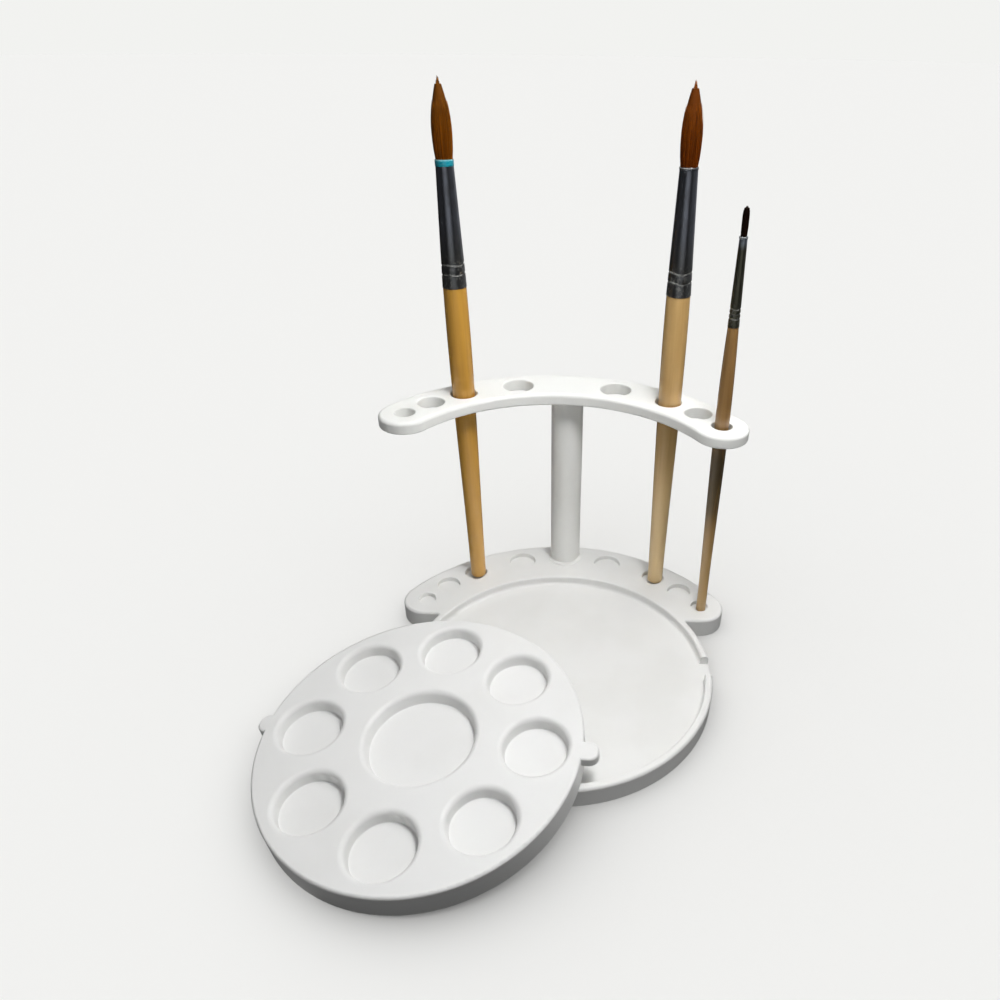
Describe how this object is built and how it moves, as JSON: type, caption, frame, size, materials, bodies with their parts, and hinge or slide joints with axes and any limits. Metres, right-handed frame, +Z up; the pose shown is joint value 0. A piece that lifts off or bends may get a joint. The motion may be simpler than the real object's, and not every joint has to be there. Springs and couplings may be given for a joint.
{
  "type": "paintbrush holder",
  "caption": "Round white tray with a crescent brush rack on a post, a loose paint palette leaning on its rim, and brushes standing in the rack.",
  "frame": {"origin": "middle of the tray's disc, on the table", "axes": "+Y from the tray to the rack behind it, +Z up, +X to the right seen from the palette's side"},
  "size_m": [0.1902, 0.1982, 0.2226],
  "materials": {
    "white_plastic": "satin moulded",
    "zinc_steel": "zinc plated",
    "left_brush_wood": "clear lacquer, orange yellow",
    "right_brush_wood": "clear lacquer, pale tan",
    "small_brush_wood": "clear lacquer, worn",
    "dark_nickel": "polished dark nickel",
    "bright_nickel": "polished nickel",
    "resin": "cured resin",
    "teal_plastic": "gloss",
    "left_brush_hair": "natural hair",
    "right_brush_hair": "natural hair",
    "small_brush_hair": "natural hair, damp"
  },
  "bodies": {
    "stand": {"base_tray": "white_plastic", "post": "white_plastic", "post_screw": "zinc_steel", "upper_rack": "white_plastic"},
    "palette": {"palette": "white_plastic"},
    "left_brush": {"left_brush_handle": "left_brush_wood", "left_brush_ferrule": "dark_nickel", "left_brush_glue_plug": "resin", "left_brush_tuft": "left_brush_hair", "left_brush_mouth_band": "teal_plastic"},
    "right_brush": {"right_brush_handle": "right_brush_wood", "right_brush_ferrule": "dark_nickel", "right_brush_glue_plug": "resin", "right_brush_tuft": "right_brush_hair"},
    "small_brush": {"small_brush_handle": "small_brush_wood", "small_brush_ferrule": "bright_nickel", "small_brush_glue_plug": "resin", "small_brush_tuft": "small_brush_hair"}
  },
  "joints": [
    {"name": "palette_lift", "type": "slide", "parent": "stand", "child": "palette", "axis": [0, 0, 1], "range_m": [0, 0.06]},
    {"name": "left_brush_lift", "type": "slide", "parent": "stand", "child": "left_brush", "axis": [-0.021, 0.0221, 0.9995], "range_m": [0, 0.115]},
    {"name": "right_brush_lift", "type": "slide", "parent": "stand", "child": "right_brush", "axis": [-0.0129, -0.0112, 0.9999], "range_m": [0, 0.115]},
    {"name": "small_brush_lift", "type": "slide", "parent": "stand", "child": "small_brush", "axis": [-0.0252, -0.0178, 0.9995], "range_m": [0, 0.115]}
  ]
}
